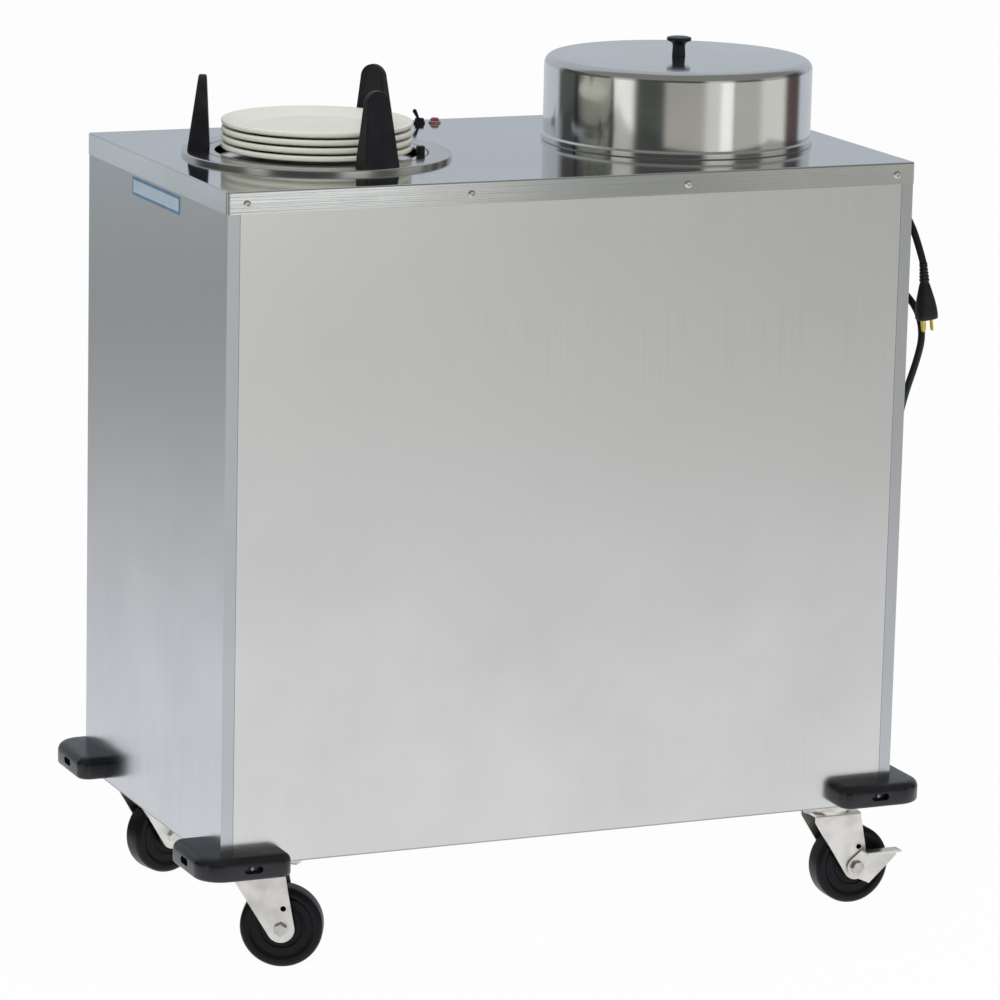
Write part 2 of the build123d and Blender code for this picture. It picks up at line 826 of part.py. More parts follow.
with BuildPart() as cord_coil:
    with BuildSketch(Plane.XY.offset(coil_height)):
        with BuildLine():
            Polyline(
                (coil_start, hook_y + coil_inner),
                (coil_start, hook_y + coil_outer),
                (coil_end, hook_y + coil_outer),
                (coil_end, hook_y + coil_inner),
                close=True,
            )
        make_face()
    revolve(axis=Axis((0, hook_y, coil_height), (1, 0, 0)))
cord_coil.part.label = "cord_coil"
export_step(cord_coil.part, "parts/cord_coil.step")

# Plug: a tapered moulded body with two flat blades and a round pin
plug_x, plug_y, plug_top = plug_place
plug_face = plug_top - 72.0
with BuildPart() as plug:
    with BuildSketch(Plane.XZ):
        Polygon(
            (0, plug_top),
            (cord_radius + 0.7, plug_top),
            (7.5, plug_top - 30),
            (13, plug_face + 12),
            (14, plug_face),
            (0, plug_face),
            align=None,
        )
    revolve(axis=Axis.Z)
plug_placed = plug.part.moved(Location((plug_x, plug_y, 0)))
plug_placed.label = "plug"
export_step(plug_placed, "parts/plug.step")

with BuildPart() as plug_blades:
    with BuildSketch(Plane.XY.offset(plug_face)):
        with Locations((plug_x - 6.3, plug_y - 3), (plug_x + 6.3, plug_y - 3)):
            Rectangle(1.5, 6.4)
        with Locations((plug_x, plug_y + 7)):
            Circle(2.4)
    extrude(amount=-16)
plug_blades.part.label = "plug_blades"
export_step(plug_blades.part, "parts/plug_blades.step")
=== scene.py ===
"""Looks of the two-stack plate dispenser cart: finishes, moulded and turned pieces, cord and studio."""

import json
from math import cos, radians, sin, tan, tau

import bmesh
import bpy
from mathutils import Matrix, Vector


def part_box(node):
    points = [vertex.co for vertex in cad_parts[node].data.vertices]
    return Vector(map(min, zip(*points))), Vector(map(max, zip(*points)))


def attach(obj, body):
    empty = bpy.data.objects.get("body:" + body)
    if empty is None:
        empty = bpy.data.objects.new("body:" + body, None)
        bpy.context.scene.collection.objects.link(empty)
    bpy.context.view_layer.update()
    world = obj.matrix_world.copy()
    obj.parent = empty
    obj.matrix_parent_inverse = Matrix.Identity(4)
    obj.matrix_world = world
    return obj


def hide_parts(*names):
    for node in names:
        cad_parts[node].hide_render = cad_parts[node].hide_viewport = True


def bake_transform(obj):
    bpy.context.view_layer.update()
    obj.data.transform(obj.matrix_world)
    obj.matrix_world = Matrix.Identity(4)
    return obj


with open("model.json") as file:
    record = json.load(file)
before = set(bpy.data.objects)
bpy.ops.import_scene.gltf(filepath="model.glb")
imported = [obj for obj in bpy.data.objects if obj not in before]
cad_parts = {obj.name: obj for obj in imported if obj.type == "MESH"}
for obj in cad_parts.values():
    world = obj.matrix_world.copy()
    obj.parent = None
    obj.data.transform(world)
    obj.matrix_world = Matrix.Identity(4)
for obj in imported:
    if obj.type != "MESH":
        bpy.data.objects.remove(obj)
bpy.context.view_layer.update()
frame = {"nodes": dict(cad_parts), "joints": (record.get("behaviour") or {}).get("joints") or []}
nodes = frame["nodes"]
scene = bpy.context.scene

MM = 0.001
corners = {"front_left": (-1, -1), "front_right": (1, -1), "rear_left": (-1, 1), "rear_right": (1, 1)}
joints = {joint["name"]: joint for joint in frame["joints"]}


def box(node):
    """A CAD node's lowest and highest corner in millimetres."""
    low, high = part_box(node)
    return Vector(low) / MM, Vector(high) / MM


def centre(node):
    low, high = box(node)
    return (low + high) / 2


# The cabinet in millimetres, from the frame
cabinet_low, cabinet_high = box("left_end_panel")[0], box("right_end_panel")[1]
deck_high = box("top_deck")[1]
ring_top = box("silo_ring_left")[1].z
silos = {"left": centre("silo_ring_left"), "right": centre("silo_ring_right")}


# Camera

def add_camera():
    """The photograph's camera: its direction from the cabinet, its tilt, and its place across it."""
    azimuth, elevation, tilt = radians(-23.79), radians(12.34), radians(1.33)
    distance, aside, above = 6.616, 0.0198, 0.3614
    focal_pixels, frame_pixels, sensor = 5172.6, 1000.0, 36.0
    back = Vector((sin(azimuth) * cos(elevation), -cos(azimuth) * cos(elevation), sin(elevation)))
    level = Vector((0, 0, 1)).cross(back).normalized()
    upright = back.cross(level)
    right = level * cos(tilt) + upright * sin(tilt)
    up = upright * cos(tilt) - level * sin(tilt)
    data = bpy.data.cameras.new("camera")
    data.sensor_width = sensor
    data.lens = focal_pixels * sensor / frame_pixels
    data.clip_end = 200
    camera = bpy.data.objects.new("camera", data)
    turn = Matrix((right, up, back)).transposed().to_4x4()
    place = right * aside + up * above + back * distance + Vector((0, 0, MM * cabinet_low.z))
    camera.matrix_world = Matrix.Translation(place) @ turn
    scene.collection.objects.link(camera)
    scene.camera = camera


# Materials

def add_node(tree, kind, inputs=None, **settings):
    """A new shader node. Each input is a value, or the output socket that feeds it."""
    made = tree.nodes.new(kind)
    for key, value in settings.items():
        setattr(made, key, value)
    for key, value in (inputs or {}).items():
        if isinstance(value, bpy.types.NodeSocket):
            tree.links.new(value, made.inputs[key])
        else:
            made.inputs[key].default_value = value
    return made


class Shader:
    """A material with a Principled shader, and short calls that add nodes to it."""

    def __init__(self, name, color, roughness, metallic=0.0, **sockets):
        self.material = bpy.data.materials.new(name)
        self.material.use_nodes = True
        self.tree = self.material.node_tree
        self.surface = self.tree.nodes["Principled BSDF"]
        self.surface.inputs["Base Color"].default_value = (*color, 1)
        self.surface.inputs["Roughness"].default_value = roughness
        self.surface.inputs["Metallic"].default_value = metallic
        for socket, value in sockets.items():
            self.surface.inputs[socket.replace("_", " ")].default_value = value

    def node(self, kind, inputs=None, **settings):
        return add_node(self.tree, kind, inputs, **settings)

    def link(self, source, socket):
        self.tree.links.new(source, self.surface.inputs[socket])

    def place(self, stretch=(1, 1, 1), middle=(0, 0, 0)):
        """Object coordinates, shifted so that middle is the origin, then stretched."""
        where = self.node("ShaderNodeTexCoord").outputs["Object"]
        moved = self.node("ShaderNodeVectorMath", {0: where, 1: middle}, operation="SUBTRACT")
        inputs = {0: moved.outputs[0], 1: stretch}
        return self.node("ShaderNodeVectorMath", inputs, operation="MULTIPLY").outputs[0]

    def noise(self, vector, scale=1.0, detail=2.0, roughness=0.5):
        inputs = {"Vector": vector, "Scale": scale, "Detail": detail, "Roughness": roughness}
        return self.node("ShaderNodeTexNoise", inputs).outputs["Fac"]

    def spread(self, value, low, high, start=0.3, end=0.7):
        """A 0 to 1 value between start and end, spread from low to high."""
        inputs = {"Value": value, "From Min": start, "From Max": end, "To Min": low, "To Max": high}
        return self.node("ShaderNodeMapRange", inputs).outputs["Result"]

    def tint(self, value, first, second):
        """A colour that goes from first to second as value goes from 0 to 1."""
        mixer = self.node("ShaderNodeMix", {0: value, 6: (*first, 1), 7: (*second, 1)}, data_type="RGBA")
        self.link(mixer.outputs[2], "Base Color")

    def bump(self, height, strength, distance):
        inputs = {"Height": height, "Strength": strength, "Distance": distance}
        self.link(self.node("ShaderNodeBump", inputs).outputs["Normal"], "Normal")

    def product(self, first, second):
        return self.node("ShaderNodeMath", {0: first, 1: second}, operation="MULTIPLY").outputs[0]


def sheet_steel(name, light, dark, grain, roughness=(0.30, 0.40), wave=0.35):
    """Satin sheet with fine straight grain, faint cloudy wiping marks and a little waviness.

    grain is the stretch of the grain's noise along X, Y and Z, small along the brushing.
    """
    steel = Shader(name, light, roughness[0], metallic=1.0)
    clouds = steel.noise(steel.place((1, 1, 1)), scale=5.0, detail=4.0, roughness=0.6)
    lines = steel.noise(steel.place(grain), scale=1.0, detail=3.0)
    waves = steel.noise(steel.place((1, 1, 1)), scale=2.2, detail=1.0)
    steel.tint(steel.spread(clouds, 0.0, 1.0, 0.35, 0.7), light, dark)
    steel.link(steel.spread(steel.product(lines, clouds), *roughness, 0.1, 0.45), "Roughness")
    fine = steel.node("ShaderNodeBump", {"Height": lines, "Strength": 0.10, "Distance": 0.0002})
    broad = {"Height": waves, "Strength": wave, "Distance": 0.004, "Normal": fine.outputs["Normal"]}
    steel.link(steel.node("ShaderNodeBump", broad).outputs["Normal"], "Normal")
    return steel.material


def turned_steel(name, light, dark, middle, roughness=(0.16, 0.26)):
    """Spun metal: fine rings about a vertical axis through middle, and faint clouds."""
    steel = Shader(name, light, roughness[0], metallic=1.0)
    local = steel.place((1, 1, 1), tuple(MM * middle))
    apart = steel.node("ShaderNodeSeparateXYZ", {"Vector": local})
    flat = steel.node("ShaderNodeCombineXYZ", {"X": apart.outputs["X"], "Y": apart.outputs["Y"]})
    reach = steel.node("ShaderNodeVectorMath", {0: flat.outputs[0]}, operation="LENGTH").outputs["Value"]
    ring_line = steel.node("ShaderNodeCombineXYZ", {"X": reach, "Y": apart.outputs["Z"]})
    rings = steel.noise(ring_line.outputs[0], scale=900.0, detail=2.0)
    clouds = steel.noise(local, scale=9.0, detail=3.0)
    steel.tint(steel.spread(clouds, 0.0, 1.0, 0.35, 0.7), light, dark)
    steel.link(steel.spread(rings, *roughness), "Roughness")
    steel.bump(rings, 0.06, 0.0001)
    return steel.material


def plated(name, light, dark, roughness=(0.28, 0.45)):
    """Plated pressed steel, slightly uneven and dulled in places."""
    metal = Shader(name, light, roughness[0], metallic=1.0)
    patches = metal.noise(metal.place(), scale=45.0, detail=4.0)
    grit = metal.noise(metal.place(), scale=900.0, detail=2.0)
    metal.tint(metal.spread(patches, 0.0, 1.0, 0.4, 0.7), light, dark)
    metal.link(metal.spread(patches, *roughness), "Roughness")
    metal.bump(grit, 0.12, 0.0002)
    return metal.material


def moulded(name, light, dark, roughness, sheen=0.3, grain=1600.0):
    """Rubber or plastic: fine even grain, with scuffed lighter patches."""
    stuff = Shader(name, light, roughness[0], Specular_IOR_Level=sheen)
    patches = stuff.noise(stuff.place(), scale=28.0, detail=5.0, roughness=0.65)
    pores = stuff.noise(stuff.place(), scale=grain, detail=2.0)
    stuff.tint(stuff.spread(patches, 0.0, 1.0, 0.45, 0.75), dark, light)
    stuff.link(stuff.spread(patches, *roughness), "Roughness")
    stuff.bump(pores, 0.25, 0.0002)
    return stuff.material


def china(name, light, shade):
    """Glazed cream china: a soft gloss over a faintly uneven body that lets a little light through."""
    glaze = Shader(
        name, light, 0.34, Specular_IOR_Level=0.3, Subsurface_Weight=0.35, Subsurface_Scale=0.004,
    )
    glaze.surface.inputs["Subsurface Radius"].default_value = (1.0, 0.9, 0.7)
    patches = glaze.noise(glaze.place(), scale=14.0, detail=3.0)
    ripple = glaze.noise(glaze.place(), scale=60.0, detail=1.0)
    glaze.tint(glaze.spread(patches, 0.0, 1.0), light, shade)
    glaze.link(glaze.spread(patches, 0.30, 0.42), "Roughness")
    glaze.bump(ripple, 0.05, 0.0006)
    return glaze.material


def lens(name, color):
    """Coloured plastic over a lamp, with a faintly ribbed face."""
    cap = Shader(name, color, 0.25, Coat_Weight=0.4, Coat_Roughness=0.08)
    ribs = cap.noise(cap.place((1, 1, 0.2)), scale=700.0, detail=1.0)
    deep = tuple(0.6 * part for part in color)
    cap.tint(cap.spread(ribs, 0.0, 1.0), color, deep)
    cap.bump(ribs, 0.2, 0.0003)
    return cap.material


def foil(name, light, dark):
    """A printed metal strip, half dull."""
    strip = Shader(name, light, 0.4, metallic=0.4)
    patches = strip.noise(strip.place(), scale=60.0, detail=3.0)
    strip.tint(strip.spread(patches, 0.0, 1.0), light, dark)
    strip.link(strip.spread(patches, 0.36, 0.46), "Roughness")
    strip.bump(strip.noise(strip.place((1, 900, 6))), 0.05, 0.0001)
    return strip.material


# The stretch of the grain's noise for brushing along each axis
along_x = (6.0, 700.0, 700.0)
along_y = (700.0, 6.0, 700.0)
along_z = (700.0, 700.0, 6.0)

# Each finish: what makes it, its lighter and its darker colour, then what else its maker takes
looks = {
    "front_sheet": (sheet_steel, (0.68, 0.675, 0.66), (0.64, 0.635, 0.62), along_z, (0.18, 0.25), 0.10),
    # The end panels are the front's steel painted darker and a little bluer: painted shade
    "end_sheet": (sheet_steel, (0.51, 0.52, 0.53), (0.475, 0.49, 0.50), along_z, (0.19, 0.26), 0.10),
    "deck_sheet": (sheet_steel, (0.66, 0.67, 0.67), (0.61, 0.62, 0.62), along_x, (0.07, 0.11), 0.08),
    "plain_sheet": (sheet_steel, (0.50, 0.51, 0.50), (0.42, 0.43, 0.43), along_y, (0.4, 0.55)),
    "silo_left_metal": (turned_steel, (0.64, 0.64, 0.63), (0.55, 0.55, 0.54), silos["left"]),
    "silo_right_metal": (turned_steel, (0.64, 0.64, 0.63), (0.55, 0.55, 0.54), silos["right"]),
    "cover_metal": (turned_steel, (0.72, 0.72, 0.71), (0.66, 0.66, 0.65), silos["right"], (0.10, 0.16)),
    "zinc": (plated, (0.80, 0.78, 0.73), (0.68, 0.66, 0.61)),
    "bolt_zinc": (plated, (0.66, 0.65, 0.62), (0.50, 0.49, 0.46), (0.22, 0.4)),
    "spring_wire": (plated, (0.45, 0.45, 0.46), (0.34, 0.34, 0.35)),
    "heater_sheath": (plated, (0.16, 0.14, 0.13), (0.09, 0.08, 0.08), (0.4, 0.6)),
    "brass": (plated, (0.80, 0.66, 0.12), (0.62, 0.50, 0.09), (0.2, 0.32)),
    "bumper_rubber": (moulded, (0.012, 0.012, 0.017), (0.005, 0.005, 0.008), (0.24, 0.36), 0.5),
    "wheel_rubber": (moulded, (0.008, 0.008, 0.010), (0.003, 0.003, 0.004), (0.30, 0.42), 0.2),
    "black_plastic": (moulded, (0.018, 0.018, 0.022), (0.008, 0.008, 0.010), (0.32, 0.46), 0.3, 900.0),
    "cord_jacket": (moulded, (0.018, 0.018, 0.021), (0.008, 0.008, 0.010), (0.42, 0.55), 0.3, 2200.0),
    "china": (china, (0.78, 0.78, 0.69), (0.74, 0.74, 0.645)),
    "red_lens": (lens, (0.40, 0.035, 0.04)),
    "pale_foil": (foil, (0.50, 0.60, 0.68), (0.45, 0.54, 0.62)),
    "blue_foil": (foil, (0.09, 0.23, 0.38), (0.07, 0.18, 0.32)),
}
finishes = {name: make(name, *look) for name, (make, *look) in looks.items()}


def finish_cad(finish, *names):
    """Gives a finish to CAD nodes that are shown as they are."""
    for name in names:
        slots = nodes[name].data.materials
        slots.clear()
        slots.append(finishes[finish])


def finish_all_cad():
    finish_cad("front_sheet", "front_panel", "rear_panel")
    # The end panels take the darker, bluer copy of the front steel, as painted shade
    finish_cad("end_sheet", "left_end_panel", "right_end_panel")
    finish_cad("deck_sheet", "top_deck", "carrier_left", "carrier_right")
    finish_cad("plain_sheet", "base_pan", "caster_channels", "heater_brackets")
    finish_cad("plain_sheet", "control_box", "cord_hook")
    finish_cad("silo_left_metal", "silo_tube_left")
    finish_cad("silo_right_metal", "silo_tube_right")
    finish_cad("zinc", *(f"{kind}_{corner}" for kind in ("caster_plate", "fork") for corner in corners))
    finish_cad("zinc", "brake_lever_front_right", "brake_lever_rear_right")
    finish_cad("heater_sheath", "heaters")
    finish_cad("black_plastic", "guides_left", "guides_right", "silo_latches")
    finish_cad("black_plastic", "switch_body", "switch_lever")


# Solids in millimetres: each is a list of places and a list of faces

def rounded(*outline, steps=6):
    """A profile's points. A corner is (x, y) where it is sharp, or (x, y, radius) where it is round."""
    points = []
    for index, corner in enumerate(outline):
        here = Vector(corner[:2])
        if len(corner) == 2:
            points.append(here)
            continue
        before = (Vector(outline[index - 1][:2]) - here).normalized()
        after = (Vector(outline[(index + 1) % len(outline)][:2]) - here).normalized()
        half = before.angle(after) / 2
        middle = here + (before + after).normalized() * corner[2] / sin(half)
        first, last = (here + arm * corner[2] / tan(half) - middle for arm in (before, after))
        for step in range(steps + 1):
            points.append(middle + first.lerp(last, step / steps).normalized() * corner[2])
    return points


def turned(profile, segments=48, closed=False):
    """A profile of (radius, height) points turned about Z. A closed one is a ring clear of the axis."""
    places, rings = [], []
    for radius, height in profile:
        first = len(places)
        if radius < 1e-6:
            places.append((0, 0, height))
            rings.append([first] * segments)
            continue
        rings.append([first + k for k in range(segments)])
        for k in range(segments):
            places.append((radius * cos(tau * k / segments), radius * sin(tau * k / segments), height))
    faces = []
    for ring, following in zip(rings, rings[1:] + (rings[:1] if closed else [])):
        for k in range(segments):
            beside = (k + 1) % segments
            face = list(dict.fromkeys((ring[k], ring[beside], following[beside], following[k])))
            if len(face) > 2:
                faces.append(face)
    return places, faces


def joined(rings):
    """Rings with the same number of places, joined one to the next, with flat ends."""
    count = len(rings[0])
    last = count * (len(rings) - 1)
    faces = []
    for first in range(0, last, count):
        for k in range(count):
            here, beside = first + k, first + (k + 1) % count
            faces.append((here, beside, beside + count, here + count))
    faces += [range(count), range(last, last + count)]
    return [place for ring in rings for place in ring], faces


def lofted(sections, segments=40):
    """Flattened rings joined along Z. Each is (half width, half depth, height, squareness)."""
    rings = []
    for half_x, half_y, height, squareness in sections:
        ring = []
        for k in range(segments):
            angle = tau * (k + 0.5) / segments
            part_x, part_y = (abs(part(angle)) ** (2 / squareness) for part in (cos, sin))
            ring.append((
                half_x * part_x * (1 if cos(angle) > 0 else -1),
                half_y * part_y * (1 if sin(angle) > 0 else -1),
                height,
            ))
        rings.append(ring)
    return joined(rings)


def wire(points, radius, sides=8):
    """A round wire along a path, with flat ends."""
    path = [Vector(point) for point in points]
    rings = []
    across = (path[1] - path[0]).orthogonal()
    for index, point in enumerate(path):
        ahead = (path[min(index + 1, len(path) - 1)] - path[max(index - 1, 0)]).normalized()
        across = (across - ahead * across.dot(ahead)).normalized()
        upward = ahead.cross(across)
        angles = (tau * side / sides for side in range(sides))
        rings.append([point + radius * (across * cos(angle) + upward * sin(angle)) for angle in angles])
    return joined(rings)


def slab(low, high):
    """A block between two corners."""
    places = [(x, y, z) for x in (low[0], high[0]) for y in (low[1], high[1]) for z in (low[2], high[2])]
    faces = [(0, 1, 3, 2), (4, 6, 7, 5), (0, 4, 5, 1), (2, 3, 7, 6), (0, 2, 6, 4), (1, 5, 7, 3)]
    return places, faces


def at(place, facing=(0, 0, 1)):
    """The placing that moves a solid to place and turns its Z to facing."""
    turn = Vector((0, 0, 1)).rotation_difference(Vector(facing))
    return Matrix.Translation(place) @ turn.to_matrix().to_4x4()


class Piece:
    """A mesh built from solids."""

    def __init__(self):
        self.places, self.faces = [], []

    def add(self, solid, where=Matrix()):
        places, faces = solid
        first = len(self.places)
        self.places += [where @ Vector(place) for place in places]
        self.faces += [[first + corner for corner in face] for face in faces]
        return self

    def shape(self, name, finish, crease=35):
        """Makes the object, shaded smooth but for edges sharper than crease."""
        mesh = bpy.data.meshes.new(name)
        mesh.from_pydata([MM * place for place in self.places], [], self.faces)
        work = bmesh.new()
        work.from_mesh(mesh)
        bmesh.ops.recalc_face_normals(work, faces=work.faces[:])
        work.to_mesh(mesh)
        work.free()
        mesh.shade_smooth()
        mesh.set_sharp_from_angle(angle=radians(crease))
        mesh.materials.append(finishes[finish])
        piece = bpy.data.objects.new(name, mesh)
        scene.collection.objects.link(piece)
        return piece

    def done(self, name, finish, body, slot, *replaced, crease=35):
        """Makes the object, hides the CAD nodes it replaces, and puts it on its body."""
        piece = self.shape(name, finish, crease)
        if replaced:
            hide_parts(*replaced)
        if body:
            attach(piece, body)
        return piece


# Casters

fork_outer = 22.2
lever_outer = 25.5
axle_radius = 5.45


def add_wheels():
    """Rubber wheels with round shoulders, a recessed web with a bead on it, and a hub."""
    half, hub, tread = 15.5, 18.7, 50.8
    side = ((5.55, hub), (12.5, hub, 1.2), (15.5, 12.6, 2), (25, 12.6, 0.8), (26, 13.8, 0.9),
            (28, 13.8, 0.9), (29, 12.6, 0.8), (37, 12.6, 2), (40.5, half, 2), (tread, half, 6.5))
    near = [(corner[0], -corner[1], *corner[2:]) for corner in side]
    outline = rounded(*near, *reversed(side))
    for corner in corners:
        spin = joints[f"wheel_spin_{corner}"]
        where = at(Vector(spin["pos_m"]) / MM, spin["axis"])
        wheel = Piece().add(turned(outline, 72, closed=True), where)
        wheel.done(
            f"tyre_{corner}", "wheel_rubber", f"wheel_{corner}", "wheel_rubber", f"wheel_{corner}",
        )


def hexagon(radius, low, high):
    """A six-sided head between two heights, with its far corners taken off."""
    thick = high - low
    outline = ((0, low), (radius, low), (radius, low + 0.8 * thick), (0.87 * radius, high), (0, high))
    return turned(outline, 6)


def add_axles():
    """Axle bolts: a hexagon head, a nut on a washer, and the bolt's round end."""
    for corner, (sx, sy) in corners.items():
        spin = joints[f"wheel_spin_{corner}"]
        outward = -Vector(spin["axis"])
        where = at(Vector(spin["pos_m"]) / MM, outward)
        head = lever_outer if sx > 0 else fork_outer
        tail = -fork_outer - 6
        end = rounded((0, tail), (axle_radius, tail, 0.8), (axle_radius, head), (0, head))
        bolt = Piece().add(turned(end, 32), where).add(hexagon(8.5, head, head + 5), where)
        bolt.add(hexagon(-8.5, -fork_outer - 1, -fork_outer - 5), where)
        washer = ((0, -fork_outer - 1), (8.5, -fork_outer - 1), (8.5, -fork_outer), (0, -fork_outer))
        bolt.add(turned(washer, 32), where)
        bolt.done(f"axle_bolt_{corner}", "bolt_zinc", f"swivel_{corner}", "zinc", f"axle_{corner}")


def add_caster_bolts():
    """Four hexagon heads on washers under each caster plate."""
    half_long, half_wide = 40, 25
    top = box("caster_bolts")[1].z
    heads = Piece()
    for corner in corners:
        middle = Vector(joints[f"caster_swivel_{corner}"]["pos_m"]) / MM
        for x in (-half_long, half_long):
            for y in (-half_wide, half_wide):
                where = at((middle.x + x, middle.y + y, top), (0, 0, -1))
                heads.add(turned(((0, 0), (8, 0), (8, 1), (0, 1)), 24), where)
                heads.add(hexagon(6.8, 1, 4.5), where)
    heads.done("caster_bolt_heads", "bolt_zinc", "cabinet", "zinc", "caster_bolts")


# Screws with round heads and a round recess for the driver

def screw_head(radius, height):
    outline = rounded(
        (0, 0), (radius, 0), (radius, 0.4 * height, 0.15 * height),
        (0.72 * radius, height, 0.4 * height),
        (0.42 * radius, height), (0.38 * radius, 0.35 * height), (0, 0.3 * height),
    )
    return turned(outline, 24)


def add_deck_screws():
    places_along = (-429, -143, 143, 429)
    heads = Piece()
    height = centre("deck_screws").z
    for side in (-1, 1):
        for x in places_along:
            heads.add(screw_head(4.6, 2.4), at((x, side * deck_high.y, height), (0, side, 0)))
    heads.done("deck_screw_heads", "bolt_zinc", "cabinet", "stainless", "deck_screws")


# Corner bumpers

# How far the bumpers sit below the solids, on the left and on the right
bumper_drop = {-1: 5.0, 1: 3.0}
bumper_height = 28.0
recess_inset, recess_depth = 30.0, 8.0


def bumper_reach(corner):
    """A bumper's near and far side along X and along Y, from the cart's middle, and its underside."""
    low, high = box(f"bumper_{corner}")
    across, along = (sorted((abs(low[axis]), abs(high[axis]))) for axis in (0, 1))
    return across, along, low.z - bumper_drop[corners[corner][0]]


def bumper_section(corner, inset):
    """An L round the corner, with its free sides drawn in by inset."""
    sx, sy = corners[corner]
    (near_x, far_x), (near_y, far_y), _ = bumper_reach(corner)
    face_x, face_y = cabinet_high.x, -box("front_panel")[0].y
    outline = rounded(
        (near_x + inset, face_y), (face_x, face_y), (face_x, near_y + inset),
        (far_x - inset, near_y + inset, 16 - inset), (far_x - inset, far_y - inset, 34 - inset),
        (near_x + inset, far_y - inset, 16 - inset), steps=8,
    )
    return [(sx * point.x, sy * point.y) for point in outline]


def bumper_body(corner):
    """The L from a small lower radius to a broad upper one."""
    low = bumper_reach(corner)[2]
    top = low + bumper_height
    lower, upper, steps = 4.0, 10.0, 6
    turns = [tau / 4 * k / steps for k in range(steps + 1)]
    levels = [(lower * (1 - sin(turn)), low + lower * (1 - cos(turn))) for turn in turns]
    levels += [(upper * (1 - cos(turn)), top - upper * (1 - sin(turn))) for turn in turns]
    return joined([
        [(*point, height) for point in bumper_section(corner, inset)] for inset, height in levels
    ])


def recess(half_long, half_high, depth):
    """A prism with round ends along X, for cutting a recess. It stands clear of the face it cuts."""
    steps, clear = 10, 5.0
    outline = [
        (side * (half_long - half_high) + half_high * cos(turn), half_high * sin(turn))
        for side, start in ((1, -tau / 4), (-1, tau / 4))
        for turn in (start + tau / 2 * k / steps for k in range(steps + 1))
    ]
    return joined([[(*point, height) for point in outline] for height in (-depth, clear)])


def recess_places(corner):
    """Where a bumper's two recesses open: on its long face and on its end face."""
    sx, sy = corners[corner]
    (_, far_x), (_, far_y), low = bumper_reach(corner)
    middle = low + bumper_height / 2 - 1
    return (
        Matrix.Translation((sx * (cabinet_high.x - recess_inset), sy * far_y, middle))
        @ Matrix.Rotation(tau / 4 if sy < 0 else -tau / 4, 4, "X"),
        Matrix.Translation((sx * far_x, sy * (cabinet_high.y - recess_inset), middle))
        @ Matrix.Rotation(tau / 4, 4, "Z") @ Matrix.Rotation(tau / 4 if sx > 0 else -tau / 4, 4, "X"),
    )


def add_bumpers():
    """Moulded bumpers with soft edges and an oval recess in each arm."""
    for corner in corners:
        cutter = Piece()
        for where in recess_places(corner):
            cutter.add(recess(12, 4.5, recess_depth), where)
        tool = cutter.shape(f"recess_{corner}", "bumper_rubber")
        body = Piece().add(bumper_body(corner)).shape(f"uncut_{corner}", "bumper_rubber")
        cut = body.modifiers.new("recesses", "BOOLEAN")
        cut.operation, cut.object, cut.solver = "DIFFERENCE", tool, "EXACT"
        evaluated = body.evaluated_get(bpy.context.evaluated_depsgraph_get())
        whole = bpy.data.meshes.new_from_object(evaluated)
        for spare in (body, tool):
            bpy.data.objects.remove(spare)
        whole.shade_smooth()
        whole.set_sharp_from_angle(angle=radians(40))
        bumper = bpy.data.objects.new(f"moulded_bumper_{corner}", whole)
        scene.collection.objects.link(bumper)
        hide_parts(f"bumper_{corner}")
        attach(bumper, "cabinet")


def add_bumper_screws():
    """A small screw at the bottom of each recess."""
    heads = Piece()
    for corner in corners:
        for where in recess_places(corner):
            heads.add(screw_head(3.4, 2.5), where @ Matrix.Translation((0, 0, -recess_depth)))
    heads.done("bumper_screw_heads", "spring_wire", "cabinet", "zinc", "bumper_screws")


# Silos, springs, plates and cover

def add_silo_rings():
    """The broad rings on the deck, with a thin inner lip over the mouth of the tube."""
    inner, outer, thick = 125, 166, 2.6
    low = deck_high.z
    outline = rounded(
        (inner, ring_top - thick), (152, ring_top - thick), (153, low), (outer, low),
        (outer, ring_top, 2), (inner, ring_top, 1.2),
    )
    for side, middle in silos.items():
        ring = Piece().add(turned(outline, 128, closed=True), at((middle.x, middle.y, 0)))
        ring.done(f"ring_{side}", f"silo_{side}_metal", "cabinet", "stainless", f"silo_ring_{side}")


def add_springs():
    """Wound extension springs with a hook at each end."""
    orbit, coil, gauge, eye, pitch, per_turn = 147.5, 5.1, 0.8, 13.0, 2.3, 14
    first_place, count = 218.8, 3
    for side, middle in silos.items():
        low, high = box(f"springs_{side}")
        turns = (high.z - low.z - 2 * eye) / pitch
        steps = round(turns * per_turn)
        springs = Piece()
        for k in range(count):
            angle = radians(first_place + 360 / count * k)
            hang = Vector((middle.x + orbit * cos(angle), middle.y + orbit * sin(angle), 0))
            path = [hang + Vector((0, 0, low.z + part)) for part in (0.0, 5.0, 10.0)]
            for step in range(steps + 1):
                turn = tau * step / per_turn
                height = low.z + eye + (high.z - low.z - 2 * eye) * step / steps
                path.append(hang + Vector((coil * cos(turn), coil * sin(turn), height)))
            path += [hang + Vector((0, 0, high.z - part)) for part in (10.0, 5.0, 0.0)]
            springs.add(wire(path, gauge, 6))
        made = springs.done(
            f"wound_springs_{side}", "spring_wire", None, "spring_steel", f"springs_{side}",
        )
        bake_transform(made)


def add_plates():
    """Four cream plates, each foot in the well of the plate below."""
    low = box("plates")[0].z
    pitch, count = 9.8, 4
    outline = rounded(
        (0, 4.2), (60, 4.2, 2), (63, 0, 1.2), (68.5, 0, 1.4), (71, 2.6, 3), (86, 4.8, 8), (108, 8.8, 6),
        (113, 9.6, 1.5), (117.5, 10.9, 2.6), (117.5, 17.2, 2.4), (110, 16.6, 4), (88, 12.4, 6),
        (76, 9.75, 6), (0, 9.75),
    )
    stack = Piece()
    for k in range(count):
        stack.add(turned(outline, 128), at((silos["left"].x, silos["left"].y, low + k * pitch)))
    stack.done("china_plates", "china", "carrier_left", "ceramic", "plates", crease=60)


